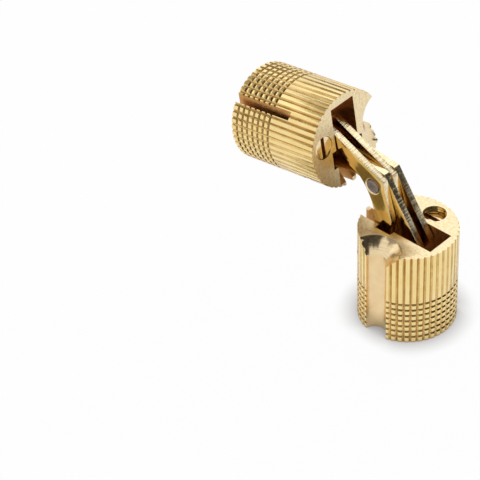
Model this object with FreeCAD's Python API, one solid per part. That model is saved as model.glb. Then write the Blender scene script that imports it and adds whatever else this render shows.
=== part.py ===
import FreeCAD, Part
import os
from math import asin, atan2, cos, degrees, hypot, pi, radians, sin, sqrt

# Invisible barrel hinge, half open: two knurled barrels joined by four interleaved link plates.
# The lower barrel stands on its bottom end at the origin, with its axis along Z.
# Its knuckle side, towards the other barrel, faces -X, and every pin lies along Y.

# Barrels
barrel_diameter = 14.0
barrel_length = 15.0
opening = 98.6
full_opening = 180.0
pocket_clearance = 0.2

# Linkage: a link turns on the pivot pin of one barrel and slides in the other
pivot_inset = 1.88
pivot_depth = 3.65
centre_inset = 3.73
closed_gap = 1.32
slide_spacing = 2.52
slide_depth = 11.6

# Link plates
plate_thickness = 1.0
plate_play = 0.05
side_play = 0.15
nose_height = 2.38
nose_slope = 25.0
knee_edge = 6.1
knee_slope = 44.6
throat_web = 0.33
throat_bite = 0.6
pivot_eye_radius = 1.4
slide_eye_radius = 1.1

# Pins
pivot_pin_diameter = 1.4
slide_pin_diameter = 1.2
slide_pin_engagement = 0.8
rivet_diameter = 2.0
pin_fit = 0.04
pin_recess = 0.1

# Clamp screw and its slit
screw_fit = 0.03
screw_length = 6.5
screw_point_length = 1.4
screw_wall = 0.6
screw_rim_wall = 0.56
screw_offset = 0.95
screw_slot_width = 0.6
screw_slot_depth = 0.9
lower_screw_recess = 1.0
upper_screw_recess = 0.1
slit_width = 0.85
slit_offset = 0.6
slit_height = 9.9
slit_wall = 0.43
slit_relief_diameter = 1.2

# Mounting screw groove
groove_diameter = 3.66
groove_offset = 0.2
countersink_wall = 0.4

# Knurling and ends
flute_count = 46
flute_depth = 0.23
flute_width = 0.46
dish_rim = 1.0
dish_depth = 0.9

radius = barrel_diameter / 2
valley_radius = radius - flute_depth
pitch = plate_thickness + plate_play
stack_half = 2 * pitch
pocket_half = stack_half + side_play
pivot_reach = radius - pivot_inset
slide_reach = pivot_reach - slide_spacing
slot_half = pocket_half + slide_pin_engagement
screw_diameter = valley_radius - pocket_half - screw_wall - screw_rim_wall - 2 * screw_fit
screw_along = pocket_half + screw_wall + screw_diameter / 2
slit_along = screw_along + slit_offset
slit_end = sqrt((valley_radius - slit_wall - slit_relief_diameter / 2) ** 2 - slit_along ** 2)
countersink_diameter = 2 * (radius + groove_offset - slot_half - countersink_wall)
mouth = barrel_length


def turned(length, angle):
    """Reach towards the knuckle side and height of a length laid at an angle in degrees."""
    return length * cos(radians(angle)), length * sin(radians(angle))


def added(first, second):
    return first[0] + second[0], first[1] + second[1]


closed_centre = (centre_inset - radius, closed_gap / 2)
crank_length = hypot(pivot_reach - closed_centre[0], pivot_depth + closed_centre[1])
closed_crank = 180 - degrees(asin((pivot_depth + closed_centre[1]) / crank_length))
closed_arm = (slide_reach - closed_centre[0], -slide_depth - closed_centre[1])
arm_length = hypot(*closed_arm)
arm_angle = degrees(atan2(closed_arm[1], closed_arm[0]))


def centre_at(angle, ratio):
    """Centre rivet from the lower mouth, at an opening and the share of it a link turns in its barrel."""
    return added((pivot_reach, -pivot_depth), turned(crank_length, closed_crank - ratio * angle))


def slide_at(angle, ratio):
    """Slide pin that the other barrel's links carry in the lower barrel, from its mouth."""
    return added(centre_at(angle, ratio), turned(arm_length, arm_angle - (1 - ratio) * angle))


def solved_ratio():
    """The share at which the slide pin is as far from the axis at full opening as when closed."""
    low, high = 0.5, 0.75
    for _ in range(40):
        middle = (low + high) / 2
        if slide_at(full_opening, middle)[0] < slide_reach:
            low = middle
        else:
            high = middle
    return middle


link_ratio = solved_ratio()


def link_points():
    """Corners of a link at full opening, from the rivet, with the reach along its slide arm."""
    pivot = turned(crank_length, closed_crank + 180 - link_ratio * full_opening)
    arm = turned(arm_length, arm_angle - (1 - link_ratio) * full_opening)
    slide = (-arm[0], arm[1])
    nose = (0, nose_height)
    knee = added(nose, turned(knee_edge, 180 + nose_slope))
    pivot_side = added(pivot, (-pivot_eye_radius, 0))
    slide_side = added(slide, (slide_eye_radius, 0))
    heel_run = (knee[0] - pivot_side[0]) / cos(radians(knee_slope))
    toe_run = slide_side[0] / cos(radians(nose_slope))
    heel = added(knee, turned(heel_run, 180 + knee_slope))
    toe = added(nose, turned(toe_run, -nose_slope))
    return {
        "pivot": pivot,
        "slide": slide,
        "nose": nose,
        "heel": heel,
        "throat": added(slide, (throat_bite, throat_bite)),
        "outline": [pivot, pivot_side, heel, knee, nose, toe, slide_side, slide],
    }


def spot(reach, height, along=0):
    """Row-frame point from a reach towards the knuckle side, a height and a place along Y."""
    return FreeCAD.Vector(-reach, along, height)


def pin(diameter, reach, height, start, end):
    """Cylinder along Y."""
    return Part.makeCylinder(diameter / 2, end - start, spot(reach, height, start), FreeCAD.Vector(0, 1, 0))


def block(reach_from, reach_to, along_from, along_to, low, high):
    """Box between two reaches, two places along Y and two heights."""
    size = (reach_to - reach_from, along_to - along_from, high - low)
    return Part.makeBox(*size, FreeCAD.Vector(-reach_to, along_from, low))


def layer(index):
    """Y range of a plate layer, counted 0 to 3 from the groove side."""
    start = index * pitch - stack_half + plate_play / 2
    return start, start + plate_thickness


def throat_circle():
    """Centre and radius of a link's inner edge: under the rivet, and through its two eyes."""
    points = link_points()
    under_rivet = spot(0, -rivet_diameter / 2 - throat_web)
    arc = Part.Arc(spot(*points["pivot"]), under_rivet, spot(*points["throat"]))
    circle = arc.toShape().Curve
    return (-circle.Center.x, circle.Center.z), circle.Radius


throat_centre, throat_radius = throat_circle()
full_centre = centre_at(full_opening, link_ratio)
travel = [slide_at(step * full_opening / 36, link_ratio) for step in range(37)]
slide_near = max(reach for reach, height in travel)
slide_far = min(reach for reach, height in travel)
slide_bore = slide_pin_diameter / 2 + pocket_clearance
knuckle_wall = slide_near + slide_eye_radius + pocket_clearance


def closed_place(name):
    """Named point of the lower barrel's own links when closed, from the lower mouth."""
    reach, height = link_points()[name]
    distance = hypot(reach, height)
    angle = degrees(atan2(height, reach)) + link_ratio * full_opening
    return added(closed_centre, turned(distance, angle))


far_wall = closed_place("nose")[0] - pocket_clearance
rim_slot_depth = -closed_place("heel")[1]


def knurled_blank():
    """Bar with straight flutes between flat lands over its whole length."""
    step = 2 * pi / flute_count
    edge = flute_width / 2 / radius
    corners = []
    for flute in range(flute_count):
        angle = flute * step
        corners += [(valley_radius, angle), (radius, angle + edge), (radius, angle + step - edge)]
    rim = [FreeCAD.Vector(reach * cos(angle), reach * sin(angle), 0) for reach, angle in corners]
    return Part.Face(Part.makePolygon(rim + rim[:1])).extrude(FreeCAD.Vector(0, 0, barrel_length))


def pocket_cuts():
    """Through pocket for the links, its two pin slots, and the rim slots and rounded ribs."""
    cuts = [
        block(far_wall, knuckle_wall, -pocket_half, pocket_half, 0, mouth),
        block(slide_far - slide_bore, slide_near + slide_bore, -slot_half, slot_half, 0, mouth),
    ]
    for index in (0, 2):
        near, far = layer(index)
        near = max(near - side_play, -pocket_half)
        cuts.append(block(knuckle_wall, radius, near, far + side_play, mouth - rim_slot_depth, mouth))
    throat = (full_centre[0] - throat_centre[0], mouth + full_centre[1] + throat_centre[1])
    rib_radius = throat_radius - pocket_clearance
    ribs = pin(2 * rib_radius, *throat, -pocket_half, pocket_half)
    over_ribs = block(knuckle_wall, radius, -pocket_half, pocket_half, mouth - rim_slot_depth, mouth)
    cuts.append(over_ribs.cut(ribs))
    return cuts


def screw_cuts():
    """Bore of the clamp screw, and the slit that the screw spreads."""
    axis = spot(-screw_offset, mouth, screw_along)
    down = FreeCAD.Vector(0, 0, -1)
    bore_radius = screw_diameter / 2 + screw_fit
    bore_depth = lower_screw_recess + screw_length
    bore = Part.makeCylinder(bore_radius, bore_depth, axis, down)
    slit_low = slit_along - slit_width / 2
    slit = block(-radius, slit_end, slit_low, slit_low + slit_width, 0, slit_height)
    relief_at = spot(slit_end, 0, slit_along)
    relief = Part.makeCylinder(slit_relief_diameter / 2, slit_height, relief_at)
    return [bore, slit, relief]


def barrel():
    """One barrel, standing on its bottom end, with its screw groove on the -Y side."""
    groove_at = FreeCAD.Vector(0, -radius - groove_offset, 0)
    groove = Part.makeCylinder(groove_diameter / 2, barrel_length, groove_at)
    sink_depth = (countersink_diameter - groove_diameter) / 2
    sink_at = groove_at + FreeCAD.Vector(0, 0, mouth - sink_depth)
    countersink = Part.makeCone(groove_diameter / 2, countersink_diameter / 2, sink_depth, sink_at)
    dish = Part.makeCone(valley_radius - dish_rim, 0, dish_depth)
    hole = pin(pivot_pin_diameter, pivot_reach, mouth - pivot_depth, -radius, radius)
    return knurled_blank().cut(pocket_cuts() + screw_cuts() + [groove, countersink, dish, hole])


def place(shape, angle, anchor):
    """Turn a shape drawn about the rivet towards closing, and set its rivet hole at anchor."""
    shape.rotate(FreeCAD.Vector(), FreeCAD.Vector(0, 1, 0), angle)
    shape.translate(anchor)
    return shape


def link(index):
    """One plate drawn at full opening about the rivet, in its layer."""
    near, far = layer(index)
    points = link_points()
    corners = [spot(reach, height, near) for reach, height in points["outline"]]
    across = FreeCAD.Vector(0, far - near, 0)
    plate = Part.Face(Part.makePolygon(corners + corners[:1])).extrude(across)
    plate = plate.cut(pin(2 * throat_radius, *throat_centre, near, far))
    plate = plate.fuse(pin(2 * pivot_eye_radius, *points["pivot"], near, far))
    plate = plate.fuse(pin(2 * slide_eye_radius, *points["slide"], near, far))
    holes = [
        pin(rivet_diameter + 2 * pin_fit, 0, 0, near, far),
        pin(pivot_pin_diameter + 2 * pin_fit, *points["pivot"], near, far),
        pin(slide_pin_diameter, *points["slide"], near, far),
    ]
    return plate.cut(holes).removeSplitter()


def clamp_screw(recess):
    """Headless slotted screw with a cone point, its slotted end below the mouth by a recess."""
    top = spot(-screw_offset, mouth - recess, screw_along)
    down = FreeCAD.Vector(0, 0, -1)
    shank_length = screw_length - screw_point_length
    shank = Part.makeCylinder(screw_diameter / 2, shank_length, top, down)
    point_at = top + down * shank_length
    point = Part.makeCone(screw_diameter / 2, screw_diameter / 4, screw_point_length, point_at, down)
    slot_half_width = screw_slot_width / 2
    slot = Part.makeBox(2 * screw_diameter, screw_slot_width, screw_slot_depth)
    slot.translate(top - FreeCAD.Vector(screw_diameter, slot_half_width, screw_slot_depth))
    return shank.fuse(point).cut(slot).removeSplitter()


rest_centre = centre_at(opening, link_ratio)
rivet_at = spot(rest_centre[0], mouth + rest_centre[1])
bisector = FreeCAD.Vector(cos(radians(opening / 2)), 0, sin(radians(opening / 2)))
swing = link_ratio * (full_opening - opening)


def other_half(shape):
    """The same piece of the upper half: half a turn about the hinge's line of symmetry."""
    shape = shape.copy()
    shape.rotate(rivet_at, bisector, 180)
    return shape


pivot_pin_edge = pivot_reach + pivot_pin_diameter / 2
pivot_pin_half = sqrt(valley_radius ** 2 - pivot_pin_edge ** 2) - pin_recess
pivot_pin = pin(pivot_pin_diameter, pivot_reach, mouth - pivot_depth, -pivot_pin_half, pivot_pin_half)
slide_half = slot_half - pin_recess
slide_pin = pin(slide_pin_diameter, *link_points()["slide"], -slide_half, slide_half)
outer_link = place(link(0), swing, rivet_at)
inner_link = place(link(2), swing, rivet_at)
slide_pin = place(slide_pin, swing, rivet_at)
rivet = pin(rivet_diameter, rest_centre[0], mouth + rest_centre[1], -stack_half, stack_half)
whole_barrel = barrel()

nodes = {
    "lower_barrel": whole_barrel,
    "upper_barrel": other_half(whole_barrel),
    "lower_pivot_pin": pivot_pin,
    "upper_pivot_pin": other_half(pivot_pin),
    "lower_outer_link": outer_link,
    "lower_inner_link": inner_link,
    "upper_outer_link": other_half(outer_link),
    "upper_inner_link": other_half(inner_link),
    "upper_slide_pin": slide_pin,
    "lower_slide_pin": other_half(slide_pin),
    "centre_rivet": rivet,
    "lower_clamp_screw": clamp_screw(lower_screw_recess),
    "upper_clamp_screw": other_half(clamp_screw(upper_screw_recess)),
}

os.makedirs("parts", exist_ok=True)
for name, shape in nodes.items():
    shape.exportStep("parts/" + name + ".step")
    print(name, shape.isValid(), len(shape.Solids), round(shape.Volume, 2))
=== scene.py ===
from math import cos, pi, radians, sin

import bpy
from mathutils import Euler, Matrix, Vector


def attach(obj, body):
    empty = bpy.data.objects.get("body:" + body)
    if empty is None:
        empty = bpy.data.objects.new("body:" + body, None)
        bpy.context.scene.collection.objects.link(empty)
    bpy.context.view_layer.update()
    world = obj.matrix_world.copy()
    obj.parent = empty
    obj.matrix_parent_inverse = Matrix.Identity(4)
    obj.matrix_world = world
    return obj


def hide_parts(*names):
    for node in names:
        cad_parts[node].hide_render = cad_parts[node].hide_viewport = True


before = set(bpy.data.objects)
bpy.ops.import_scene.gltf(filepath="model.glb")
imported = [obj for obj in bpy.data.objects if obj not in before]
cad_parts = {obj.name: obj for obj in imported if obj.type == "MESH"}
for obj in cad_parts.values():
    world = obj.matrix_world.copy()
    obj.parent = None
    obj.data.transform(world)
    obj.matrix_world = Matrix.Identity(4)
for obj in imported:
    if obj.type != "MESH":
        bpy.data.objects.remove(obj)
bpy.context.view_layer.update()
mm = 0.001
scene = bpy.context.scene
print("frame loaded:", len(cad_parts), "nodes")

# where the hinge stands at rest, in millimetres
hingeSet = {
    "opening": 98.6,
    "rivet": (-4.7231, 0.0, 20.7739),
}

# the upper half is the lower half given half a turn about the line of symmetry
halfTurn = Euler((pi, -radians(hingeSet["opening"]), 0), "XYZ").to_matrix().to_4x4()
rivetAt = Vector(hingeSet["rivet"]) * mm
toUpper = Matrix.Translation(rivetAt) @ halfTurn @ Matrix.Translation(-rivetAt)
halfMatrix = {"lower": Matrix.Identity(4), "upper": toUpper}


def deselectAll():
    if bpy.context.object and bpy.context.object.mode != "OBJECT":
        bpy.ops.object.mode_set(mode="OBJECT")
    bpy.ops.object.select_all(action="DESELECT")


def makeActive(piece):
    deselectAll()
    piece.select_set(True)
    bpy.context.view_layer.objects.active = piece


# cleaning and shading that every piece shares, in millimetres and degrees
meshSet = {
    "copyMerge": 0.0005,
    "cutMerge": 0.002,
    "flatAngle": 0.4,
    "smoothAngle": 32,
}


def joinFaces(piece, merge):
    # merges doubled points and dissolves the lines inside flat faces
    makeActive(piece)
    bpy.ops.object.mode_set(mode="EDIT")
    bpy.ops.mesh.select_all(action="SELECT")
    bpy.ops.mesh.remove_doubles(threshold=merge * mm)
    bpy.ops.mesh.dissolve_limited(angle_limit=radians(meshSet["flatAngle"]))
    bpy.ops.object.mode_set(mode="OBJECT")


def mergedCopy(nodeName, pieceName):
    piece = bpy.data.objects.new(pieceName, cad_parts[nodeName].data.copy())
    scene.collection.objects.link(piece)
    piece.data.materials.clear()
    makeActive(piece)
    bpy.ops.mesh.customdata_custom_splitnormals_clear()
    joinFaces(piece, meshSet["copyMerge"])
    return piece


def breakEdges(piece, width, angle=40, segments=2):
    makeActive(piece)
    bevel = piece.modifiers.new("brokenEdges", "BEVEL")
    bevel.width = width * mm
    bevel.segments = segments
    bevel.limit_method = "ANGLE"
    bevel.angle_limit = radians(angle)
    bevel.use_clamp_overlap = True
    bpy.ops.object.modifier_apply(modifier=bevel.name)
    bpy.ops.object.shade_smooth_by_angle(angle=radians(meshSet["smoothAngle"]))


# finishes: each one is a small node tree on Object coordinates, turned to suit its half

def newFinish(name):
    finish = bpy.data.materials.new(name)
    finish.use_nodes = True
    return finish, finish.node_tree, finish.node_tree.nodes["Principled BSDF"]


def addNode(tree, kind, settings=None, **inputs):
    # an input is given by its name, or by its number as i0, i1 and so on
    node = tree.nodes.new("ShaderNode" + kind)
    for key, value in (settings or {}).items():
        setattr(node, key, value)
    for key, value in inputs.items():
        numbered = key[0] == "i" and key[1:].isdigit()
        socket = node.inputs[int(key[1:]) if numbered else key]
        if isinstance(value, bpy.types.NodeSocket):
            tree.links.new(value, socket)
        else:
            socket.default_value = value
    return node


def halfCoords(tree, half):
    # Object coordinates in millimetres, brought back to the standing barrel's own axes
    coords = addNode(tree, "TexCoord")
    mapping = addNode(tree, "Mapping", Vector=coords.outputs["Object"])
    turn = halfMatrix[half]
    mapping.inputs["Location"].default_value = turn.translation / mm
    mapping.inputs["Rotation"].default_value = turn.to_euler("XYZ")
    mapping.inputs["Scale"].default_value = (1 / mm, 1 / mm, 1 / mm)
    return mapping.outputs["Vector"]


def stretched(tree, vector, scale):
    return addNode(tree, "VectorMath", {"operation": "MULTIPLY"}, i0=vector, i1=scale).outputs[0]


def plainCoords(tree):
    # Object coordinates in millimetres
    coords = addNode(tree, "TexCoord")
    return stretched(tree, coords.outputs["Object"], (1 / mm, 1 / mm, 1 / mm))


def noise(tree, vector, scale=1.0, detail=3.0, roughness=0.55, draw=None):
    # draw packs the noise closer along each axis, so the low ones give lines
    if draw:
        vector = stretched(tree, vector, draw)
    return addNode(tree, "TexNoise", Vector=vector, Scale=scale, Detail=detail,
                   Roughness=roughness).outputs["Fac"]


def ramp(tree, factor, stops):
    node = addNode(tree, "ValToRGB", Fac=factor)
    elements = node.color_ramp.elements
    while len(elements) < len(stops):
        elements.new(0.5)
    for element, (place, colour) in zip(elements, stops):
        element.position = place
        element.color = (*colour, 1)
    return node.outputs["Color"]


def spread(tree, factor, low, high):
    return addNode(tree, "MapRange", i0=factor, i3=low, i4=high).outputs[0]


brassSet = {
    "pale": (0.94, 0.74, 0.36),
    "gold": (0.88, 0.66, 0.27),
    # the darkest brass is painted shade and tarnish for the hollows
    "tarnishAndShade": (0.42, 0.24, 0.08),
}

# grain shapes the bump, and the roughness unless roughBy says cloud; the colours follow the
# cloud, or the grain where there is no cloud; bump is a depth in millimetres and a strength
finishSet = {
    # rolled lands: fine lengthwise drag lines, painted shade and tarnish darkening the valleys
    "knurledBrass": {
        "grain": {"draw": (26, 26, 1.5)},
        "cloud": {"scale": 0.5},
        "colours": [(0.3, brassSet["gold"]), (0.7, brassSet["pale"])],
        "hollowShadeAndTarnish": {"reach": 0.5, "samples": 6,
                    "shades": [(0.4, brassSet["tarnishAndShade"]), (0.85, (1, 1, 1))]},
        "roughness": (0.14, 0.26),
        "roughBy": "cloud",
        "bump": (0.008, 0.6),
    },
    # flanks of the straight flutes, darker than the rubbed lands as painted shade in the flutes
    "fluteBrassPaintedShade": {
        "grain": {"scale": 0.8, "detail": 4},
        "colours": [(0.3, (0.56, 0.37, 0.13)), (0.7, (0.76, 0.54, 0.22))],
        "roughness": (0.14, 0.26),
        "bump": (0.006, 0.5),
    },
    # flanks of the ring grooves: dark brown, painted shade in the grooves
    "ringBrassPaintedShade": {
        "grain": {"scale": 1.1, "detail": 4},
        "colours": [(0.3, (0.20, 0.11, 0.03)), (0.7, (0.46, 0.29, 0.10))],
        "roughness": (0.25, 0.45),
        "bump": (0.01, 0.5),
    },
    # end faces: fine rings left by the facing tool, a few pits and scuffs; the pale end of the
    # colours is partly a painted highlight
    "turnedBrass": {
        "grain": {"scale": 2.4, "detail": 6, "roughness": 0.7},
        "colours": [(0.32, (0.74, 0.54, 0.25)), (0.55, (0.95, 0.80, 0.52))],
        "rings": {"Scale": 1.6, "Distortion": 0.6, "Detail": 2.0},
        "roughness": (0.2, 0.5),
        "bump": (0.008, 0.7),
    },
    # screw groove: reamed smooth, faint lines along it
    "boredBrass": {
        "grain": {"draw": (14, 14, 0.5)},
        "cloud": {"scale": 0.6},
        "colours": [(0.3, (0.80, 0.58, 0.31)), (0.7, (0.86, 0.66, 0.38))],
        "roughness": (0.16, 0.26),
        "bump": (0.004, 0.4),
    },
    # countersink: bright cone with fine tool lines round the screw's axis
    "sunkBrass": {
        "grain": {"draw": (0.4, 0.4, 14)},
        "colours": [(0.3, (0.70, 0.52, 0.27)), (0.7, (0.90, 0.74, 0.48))],
        "roughness": (0.12, 0.24),
        "bump": (0.003, 0.5),
    },
    # pocket and slit walls: dark red brown as painted shade in the recesses, drawn lines along
    # the barrel
    "broachedBrassPaintedShade": {
        "grain": {"draw": (7, 7, 0.7)},
        "colours": [(0.3, (0.43, 0.185, 0.05)), (0.7, (0.66, 0.38, 0.13))],
        "roughness": (0.3, 0.5),
        "bump": (0.02, 0.6),
    },
    # screw bore and its thread: bright, a little oily
    "tappedBrass": {
        "grain": {"scale": 1.2, "detail": 4},
        "colours": [(0.3, (0.52, 0.33, 0.12)), (0.7, brassSet["gold"])],
        "roughness": (0.14, 0.28),
    },
    # clamp screws: paler than the barrels, lightly marked
    "screwBrass": {
        "grain": {"scale": 2.2, "detail": 5, "roughness": 0.6},
        "colours": [(0.3, (0.80, 0.62, 0.36)), (0.65, (0.93, 0.80, 0.55))],
        "roughness": (0.12, 0.24),
        "bump": (0.01, 0.5),
    },
    # flat sides of the link plates: rolled sheet, deeper gold, long faint scratches
    "rolledBrass": {
        "grain": {"draw": (2.5, 8, 0.6), "detail": 5, "roughness": 0.65},
        "cloud": {"scale": 0.22},
        "colours": [(0.35, (0.54, 0.34, 0.095)), (0.65, (0.74, 0.49, 0.165))],
        "roughness": (0.08, 0.22),
        "bump": (0.01, 0.5),
    },
    # blanked edges of the plates: shear lines straight through the thickness, paler than the
    # sides, partly a painted highlight
    "shearedBrass": {
        "grain": {"draw": (5, 0.4, 5), "roughness": 0.6},
        "colours": [(0.3, (0.80, 0.63, 0.35)), (0.6, (0.97, 0.85, 0.58))],
        "roughness": (0.1, 0.22),
        "bump": (0.07, 0.8),
    },
    # rim pressed bright by the riveting tool
    "burnishedBrass": {
        "grain": {"scale": 3.0, "detail": 4},
        "colours": [(0.3, (0.84, 0.68, 0.40)), (0.7, (0.92, 0.80, 0.55))],
        "roughness": (0.25, 0.4),
    },
    # cropped wire: grey brown with a grained end
    "pinSteel": {
        "grain": {"scale": 2.5, "detail": 6, "roughness": 0.7},
        "colours": [(0.3, (0.17, 0.13, 0.11)), (0.7, (0.33, 0.27, 0.23))],
        "roughness": (0.3, 0.5),
        "bump": (0.02, 0.6),
    },
}


def shadedAndTarnished(tree, colour, reach, samples, shades):
    # paints shade and tarnish into the hollows, found by how much of the sky they see
    hollow = addNode(tree, "AmbientOcclusion", {"samples": samples}, Distance=reach * mm)
    kept = ramp(tree, hollow.outputs["AO"], shades)
    return addNode(tree, "Mix", {"data_type": "RGBA", "blend_type": "MULTIPLY"},
                   i0=1.0, i6=colour, i7=kept).outputs[2]


def ringed(tree, where, height, settings):
    # adds rings round the barrel's axis to the height
    rings = addNode(tree, "TexWave", {"wave_type": "RINGS", "rings_direction": "SPHERICAL"},
                    Vector=stretched(tree, where, (1, 1, 0)), **settings)
    return addNode(tree, "Math", {"operation": "ADD"},
                   i0=rings.outputs["Fac"], i1=height).outputs[0]


def makeFinish(name, half=None):
    look = finishSet[name]
    finish, tree, shader = newFinish(name + "_" + half if half else name)
    where = halfCoords(tree, half) if half else plainCoords(tree)
    grain = cloud = noise(tree, where, **look["grain"])
    if "cloud" in look:
        cloud = noise(tree, where, **look["cloud"])
    colour = ramp(tree, cloud, look["colours"])
    if "hollowShadeAndTarnish" in look:
        colour = shadedAndTarnished(tree, colour, **look["hollowShadeAndTarnish"])
    tree.links.new(colour, shader.inputs["Base Color"])
    shader.inputs["Metallic"].default_value = 1
    roughBy = cloud if look.get("roughBy") == "cloud" else grain
    roughness = spread(tree, roughBy, *look["roughness"])
    tree.links.new(roughness, shader.inputs["Roughness"])
    if "bump" in look:
        height = ringed(tree, where, grain, look["rings"]) if "rings" in look else grain
        depth, strength = look["bump"]
        bump = addNode(tree, "Bump", Height=height, Distance=depth * mm, Strength=strength)
        tree.links.new(bump.outputs["Normal"], shader.inputs["Normal"])
    return finish


sheetFinish = makeFinish("rolledBrass")
edgeFinish = makeFinish("shearedBrass")
steelFinish = makeFinish("pinSteel")
rimFinish = makeFinish("burnishedBrass")
print("finishes ready")

# barrels: the solid's own mesh, with the ring rows of the knurling cut across the lands

barrelSet = {
    "radius": 7.0,
    "ringCount": 7,
    "ringPitch": 0.97,
    "ringDepth": 0.2,
    "ringSides": 184,
    "ringReach": 0.6,
    "edge": 0.035,
    "edgeAngle": 35,
    "length": 15.0,
    "grooveAt": (0.0, -7.2),
    "grooveRadius": 1.83,
    "boreAt": (0.95, 4.5),
    "boreRadius": 1.68,
    "valley": 6.7,
    "dish": 1.0,
    "sinkRadius": 3.8,
    "sinkDepth": 2.0,
    "mouthMargin": 0.1,
    "footMargin": 0.05,
    "grooveMargin": 0.03,
    "boreMargin": 0.06,
    "finishes": ("knurledBrass", "turnedBrass", "boredBrass", "broachedBrassPaintedShade",
                 "tappedBrass", "ringBrassPaintedShade", "sunkBrass", "fluteBrassPaintedShade"),
}

# how far a face looks up, or outwards for a land, to count as one of these
facingSet = {
    "level": 0.995,
    "upright": 0.1,
    "dish": -0.9,
    "cone": (0.5, 0.9),
    "ringFlank": 0.3,
    "land": 0.9,
}


def ringCutter(half):
    # one four-sided ring gives a V groove; it is copied up the barrel
    deselectAll()
    reach = barrelSet["ringReach"]
    bpy.ops.mesh.primitive_torus_add(
        major_segments=barrelSet["ringSides"], minor_segments=4,
        major_radius=(barrelSet["radius"] - barrelSet["ringDepth"] + reach) * mm,
        minor_radius=reach * mm)
    cutter = bpy.context.object
    cutter.name = "ringCutter_" + half
    bpy.ops.object.mode_set(mode="EDIT")
    bpy.ops.mesh.select_all(action="SELECT")
    bpy.ops.transform.translate(value=(0, 0, barrelSet["ringPitch"] * mm))
    bpy.ops.object.mode_set(mode="OBJECT")
    return cutter


def cutRings(piece, half):
    for row in range(barrelSet["ringCount"]):
        cutter = ringCutter(half)
        lift = Matrix.Translation((0, 0, row * barrelSet["ringPitch"] * mm))
        cutter.data.transform(halfMatrix[half] @ lift)
        makeActive(piece)
        cut = piece.modifiers.new("ring", "BOOLEAN")
        cut.object = cutter
        cut.operation = "DIFFERENCE"
        cut.solver = "EXACT"
        bpy.ops.object.modifier_apply(modifier=cut.name)
        bpy.data.objects.remove(cutter)


def faceFinish(place, normal):
    # which finish a barrel face takes, from its place and direction on the standing barrel
    across = Vector((place.x, place.y))
    toGroove = (across - Vector(barrelSet["grooveAt"])).length
    toBore = (across - Vector(barrelSet["boreAt"])).length
    fromMouth = barrelSet["length"] - place.z
    atEnd = fromMouth < barrelSet["mouthMargin"] or place.z < barrelSet["footMargin"]
    inSink = toGroove < barrelSet["sinkRadius"] and fromMouth < barrelSet["sinkDepth"]
    onBore = abs(toBore - barrelSet["boreRadius"]) < barrelSet["boreMargin"]
    upright = abs(normal.z) < facingSet["upright"]
    coneLow, coneHigh = facingSet["cone"]
    if atEnd and abs(normal.z) > facingSet["level"]:
        return "turnedBrass"
    if normal.z < facingSet["dish"] and place.z < barrelSet["dish"]:
        return "turnedBrass"
    if upright and toGroove < barrelSet["grooveRadius"] + barrelSet["grooveMargin"]:
        return "boredBrass"
    if inSink and coneLow < normal.z < coneHigh:
        return "sunkBrass"
    if upright and onBore:
        return "tappedBrass"
    if across.length < barrelSet["valley"]:
        return "broachedBrassPaintedShade"
    if abs(normal.z) > facingSet["ringFlank"]:
        return "ringBrassPaintedShade"
    radial = normal.x * place.x + normal.y * place.y
    onLand = radial > facingSet["land"] * across.length
    return "knurledBrass" if onLand else "fluteBrassPaintedShade"


def dressBarrel(half):
    piece = mergedCopy(half + "_barrel", half + "BarrelBody")
    cutRings(piece, half)
    joinFaces(piece, meshSet["cutMerge"])
    for finishName in barrelSet["finishes"]:
        piece.data.materials.append(makeFinish(finishName, half))
    back = halfMatrix[half].inverted()
    for face in piece.data.polygons:
        place = back @ face.center / mm
        finishName = faceFinish(place, back.to_3x3() @ face.normal)
        face.material_index = barrelSet["finishes"].index(finishName)
    breakEdges(piece, barrelSet["edge"], barrelSet["edgeAngle"], segments=1)
    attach(piece, half)
    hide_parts(half + "_barrel")
    return piece


for half in ("lower", "upper"):
    barrelPiece = dressBarrel(half)
    print(half, "barrel dressed:", len(barrelPiece.data.polygons), "faces")

# thread in the lower screw bore, on the stretch above the sunk screw

threadSet = {
    "top": 14.78,
    "drop": 0.58,
    "turns": 1.45,
    "depth": 0.16,
    "root": 0.03,
    "halfWidth": 0.17,
    "steps": 64,
    "merge": 0.001,
}


def makeThread():
    # a triangle screwed down the bore's wall, its point towards the axis
    deselectAll()
    bpy.ops.mesh.primitive_circle_add(vertices=3, radius=mm)
    piece = bpy.context.object
    piece.name = piece.data.name = "lowerBoreThread"
    bore = barrelSet["boreRadius"]
    foot = bore + threadSet["root"]
    corners = ((bore - threadSet["depth"], 0), (foot, 1), (foot, -1))
    for vertex, (out, side) in zip(piece.data.vertices, corners):
        vertex.co = Vector((out, 0, side * threadSet["halfWidth"])) * mm
    coil = piece.modifiers.new("coil", "SCREW")
    coil.angle = radians(360 * threadSet["turns"])
    coil.screw_offset = -threadSet["drop"] * mm
    coil.steps = coil.render_steps = threadSet["steps"]
    bpy.ops.object.modifier_apply(modifier=coil.name)
    bpy.ops.object.mode_set(mode="EDIT")
    bpy.ops.mesh.select_all(action="SELECT")
    bpy.ops.mesh.remove_doubles(threshold=threadSet["merge"] * mm)
    bpy.ops.mesh.fill_holes(sides=0)
    bpy.ops.mesh.select_all(action="SELECT")
    bpy.ops.mesh.normals_make_consistent(inside=False)
    bpy.ops.object.mode_set(mode="OBJECT")
    start = Vector((*barrelSet["boreAt"], threadSet["top"])) * mm
    piece.data.transform(Matrix.Translation(start))
    bpy.ops.object.shade_smooth_by_angle(angle=radians(meshSet["smoothAngle"]))
    piece.data.materials.append(bpy.data.materials["tappedBrass_lower"])
    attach(piece, "lower")


makeThread()
print("bore thread made")

# link plates: edges broken, rivet hole countersunk a little on the outside

linkSet = {
    "edge": 0.05,
    "outerFace": 2.0,
    "holeRadius": 1.04,
    "holeCountersink": 0.2,
    "rimTolerance": 0.02,
    "flatFacing": 0.9,
    "finishes": (sheetFinish, edgeFinish, rimFinish),
}


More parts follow.
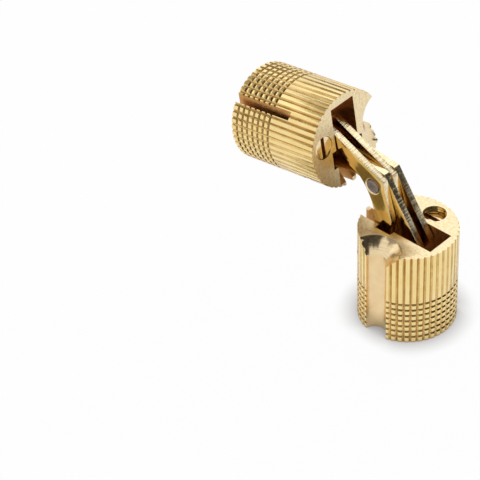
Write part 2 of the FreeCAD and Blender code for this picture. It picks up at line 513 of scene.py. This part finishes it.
def sinkRivetHole(piece):
    # the rim of the rivet hole on the outer side, picked by its distance from the rivet
    makeActive(piece)
    bpy.ops.object.mode_set(mode="EDIT")
    bpy.ops.mesh.select_all(action="DESELECT")
    bpy.ops.mesh.select_mode(type="EDGE")
    bpy.ops.object.mode_set(mode="OBJECT")
    for edge in piece.data.edges:
        ends = [piece.data.vertices[end].co - rivetAt for end in edge.vertices]
        offRim = [abs(Vector((end.x, end.z)).length / mm - linkSet["holeRadius"]) for end in ends]
        outside = all(abs(end.y) > linkSet["outerFace"] * mm for end in ends)
        edge.select = outside and max(offRim) < linkSet["rimTolerance"]
    bpy.ops.object.mode_set(mode="EDIT")
    bpy.ops.mesh.bevel(offset=linkSet["holeCountersink"] * mm, segments=1,
                       material=linkSet["finishes"].index(rimFinish))
    bpy.ops.object.mode_set(mode="OBJECT")


def dressLink(half, which):
    piece = mergedCopy(half + "_" + which + "_link", half + which.capitalize() + "Plate")
    for finish in linkSet["finishes"]:
        piece.data.materials.append(finish)
    for face in piece.data.polygons:
        finish = sheetFinish if abs(face.normal.y) > linkSet["flatFacing"] else edgeFinish
        face.material_index = linkSet["finishes"].index(finish)
    if which == "outer":
        sinkRivetHole(piece)
    breakEdges(piece, linkSet["edge"])
    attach(piece, half + "_links")
    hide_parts(half + "_" + which + "_link")


for half in ("lower", "upper"):
    for which in ("outer", "inner"):
        dressLink(half, which)
print("link plates dressed")

# clamp screws and pins

screwSet = {
    "edge": 0.08,
    "slotWallArea": 1.5,
    "slotWallFacing": 0.99,
    "finishes": ("screwBrass", "broachedBrassPaintedShade"),
}


def dressScrew(half):
    piece = mergedCopy(half + "_clamp_screw", half + "SlottedScrew")
    for finishName in screwSet["finishes"]:
        piece.data.materials.append(makeFinish(finishName, half))
    back = halfMatrix[half].inverted().to_3x3()
    for face in piece.data.polygons:
        facing = back @ face.normal
        large = face.area > screwSet["slotWallArea"] * mm * mm
        inSlot = large and abs(facing.y) > screwSet["slotWallFacing"]
        # the slot walls take the same painted shade as the pocket walls
        finishName = "broachedBrassPaintedShade" if inSlot else "screwBrass"
        face.material_index = screwSet["finishes"].index(finishName)
    breakEdges(piece, screwSet["edge"])
    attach(piece, half)
    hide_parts(half + "_clamp_screw")


for half in ("lower", "upper"):
    dressScrew(half)

rivetSet = {
    "edge": 0.12,
}
rivetPiece = mergedCopy("centre_rivet", "centreRivetBody")
rivetPiece.data.materials.append(steelFinish)
breakEdges(rivetPiece, rivetSet["edge"])
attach(rivetPiece, "lower_links")
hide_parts("centre_rivet")

for pinName in ("lower_pivot_pin", "upper_pivot_pin", "lower_slide_pin", "upper_slide_pin"):
    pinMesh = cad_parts[pinName].data
    pinMesh.materials.clear()
    pinMesh.materials.append(steelFinish)
print("screws, rivet and pins dressed")

# studio: pale floor, soft boxes, cards for the metal to reflect, the photograph's camera

studioSet = {
    "elevation": 39.85,
    "azimuth": 43.91,
    "roll": -2.12,
    "distance": 361.9,
    "lens": 193.4,
    "sensor": 36,
    "clipStart": 0.01,
    "targetRight": -23.06,
    "targetUp": 10.53,
    "floorSize": 4,
    "floorColour": (0.93, 0.93, 0.93),
    "floorRoughness": 0.9,
    "floorLift": 0.97,
    # the contact settings paint a shadow on the floor round the hinge's foot
    "contactSamples": 16,
    "contactReach": 4.2,
    "paintedContactShadow": [(0.3, (0.32, 0.30, 0.28)), (0.93, (1, 1, 1))],
    "worldLight": 1.05,
    "aim": (0, 0, 15),
}

# place of each lamp and card: right, outwards and up from the hinge, then size, in metres
boxSet = {
    "backBox": {"place": (0.05, -0.55, 0.58), "size": (0.90, 0.70), "power": 0.6},
    "leftBox": {"place": (-0.42, -0.22, 0.30), "size": (0.34, 0.32), "power": 0.1},
}
cardSet = {
    "rightCard": {"place": (0.33, 0, 0.13), "size": (0.46, 0.25), "shade": 0.07},
    "cornerCard": {"place": (0.27, 0.16, 0.34), "size": (0.38, 0.34), "shade": 0.07},
    "topCard": {"place": (0, 0.24, 0.42), "size": (0.44, 0.34), "shade": 0.07},
    "greyCard": {"place": (-0.24, -0.14, 0.37), "size": (0.52, 0.26), "shade": 0.5},
}
cardTint = (1, 0.93, 0.86)
neighbourSet = {
    "place": (-0.0265, -0.001, 0.006),
    "size": (0.016, 0.014),
    "colour": (0.42, 0.38, 0.22),
}

elevation = radians(studioSet["elevation"])
azimuth = radians(studioSet["azimuth"])
outwards = Vector((sin(azimuth), -cos(azimuth), 0))
back = outwards * cos(elevation) + Vector((0, 0, 1)) * sin(elevation)
right = Vector((0, 0, 1)).cross(back).normalized()
up = back.cross(right)
target = (right * studioSet["targetRight"] + up * studioSet["targetUp"]) * mm
roll = radians(studioSet["roll"])
rolledRight = right * cos(roll) + up * sin(roll)
rolledUp = up * cos(roll) - right * sin(roll)
aim = Vector(studioSet["aim"]) * mm


def studioPlace(place):
    return right * place[0] + outwards * place[1] + Vector((0, 0, place[2]))


def seenPlainly(tree):
    # 1 for rays from the camera, and for those that metal or glass sends on
    rays = addNode(tree, "LightPath").outputs
    seen = addNode(tree, "Math", {"operation": "MAXIMUM"},
                   i0=rays["Is Camera Ray"], i1=rays["Is Glossy Ray"])
    return addNode(tree, "Math", {"operation": "MAXIMUM"},
                   i0=seen.outputs[0], i1=rays["Is Transmission Ray"]).outputs[0]


def makeCamera():
    data = bpy.data.cameras.new("studioCamera")
    data.lens = studioSet["lens"]
    data.sensor_width = studioSet["sensor"]
    data.clip_start = studioSet["clipStart"]
    camera = bpy.data.objects.new("studioCamera", data)
    scene.collection.objects.link(camera)
    turn = Matrix((rolledRight, rolledUp, back)).transposed().to_4x4()
    camera.matrix_world = Matrix.Translation(target + back * studioSet["distance"] * mm) @ turn
    scene.camera = camera


def makeFloor():
    deselectAll()
    bpy.ops.mesh.primitive_plane_add(size=studioSet["floorSize"])
    floor = bpy.context.object
    floor.name = "floor"
    finish, tree, shader = newFinish("paleFloor")
    shader.inputs["Base Color"].default_value = (*studioSet["floorColour"], 1)
    shader.inputs["Roughness"].default_value = studioSet["floorRoughness"]
    shader.inputs["Specular IOR Level"].default_value = 0
    # seen straight or in the metal, the floor is lifted to white but for a painted contact
    # shadow, darker where the hinge is near
    nearby = addNode(tree, "AmbientOcclusion", {"samples": studioSet["contactSamples"]},
                     Distance=studioSet["contactReach"] * mm)
    shade = ramp(tree, nearby.outputs["AO"], studioSet["paintedContactShadow"])
    glow = addNode(tree, "Emission", Color=shade, Strength=1)
    share = spread(tree, seenPlainly(tree), 0.0, studioSet["floorLift"])
    both = addNode(tree, "MixShader", i0=share, i1=shader.outputs[0], i2=glow.outputs[0])
    tree.links.new(both.outputs[0], tree.nodes["Material Output"].inputs["Surface"])
    floor.data.materials.append(finish)


def makeBox(name, place, size, power):
    data = bpy.data.lights.new(name, "AREA")
    data.shape = "RECTANGLE"
    data.size, data.size_y = size
    data.energy = power
    lamp = bpy.data.objects.new(name, data)
    scene.collection.objects.link(lamp)
    lamp.location = studioPlace(place)
    lamp.rotation_euler = (aim - lamp.location).to_track_quat("-Z", "Y").to_euler()


def makeCard(name, place, turn, size, colour):
    # a dull card that the camera doesn't see
    deselectAll()
    bpy.ops.mesh.primitive_plane_add(size=1)
    card = bpy.context.object
    card.name = name
    card.data.transform(Matrix.Translation(place) @ turn @ Matrix.Diagonal((*size, 1, 1)))
    finish, tree, shader = newFinish(name + "Cloth")
    shader.inputs["Base Color"].default_value = (*colour, 1)
    shader.inputs["Roughness"].default_value = 1
    shader.inputs["Specular IOR Level"].default_value = 0
    card.data.materials.append(finish)
    card.visible_camera = False
    return card


def makeDarkCard(name, place, size, shade):
    place = studioPlace(place)
    turn = (aim - place).to_track_quat("Z", "Y").to_matrix().to_4x4()
    makeCard(name, place, turn, size, [shade * part for part in cardTint])


def makeNeighbour():
    # stands in for the second hinge, seen only as a reflection in the plates
    turn = Matrix((right, outwards, Vector((0, 0, 1)))).transposed().to_4x4()
    place = studioPlace(neighbourSet["place"])
    card = makeCard("neighbourCard", place, turn, neighbourSet["size"], neighbourSet["colour"])
    card.visible_diffuse = False
    card.visible_shadow = False


def makeWorld():
    world = bpy.data.worlds.new("studioWorld")
    scene.world = world
    world.use_nodes = True
    tree = world.node_tree
    sky = tree.nodes["Background"]
    strength = spread(tree, seenPlainly(tree), studioSet["worldLight"], 1.0)
    sky.inputs["Color"].default_value = (1, 1, 1, 1)
    tree.links.new(strength, sky.inputs["Strength"])


makeCamera()
makeFloor()
makeWorld()
for name, settings in boxSet.items():
    makeBox(name, **settings)
for name, settings in cardSet.items():
    makeDarkCard(name, **settings)
makeNeighbour()
scene.view_settings.view_transform = "Standard"
print("studio ready")
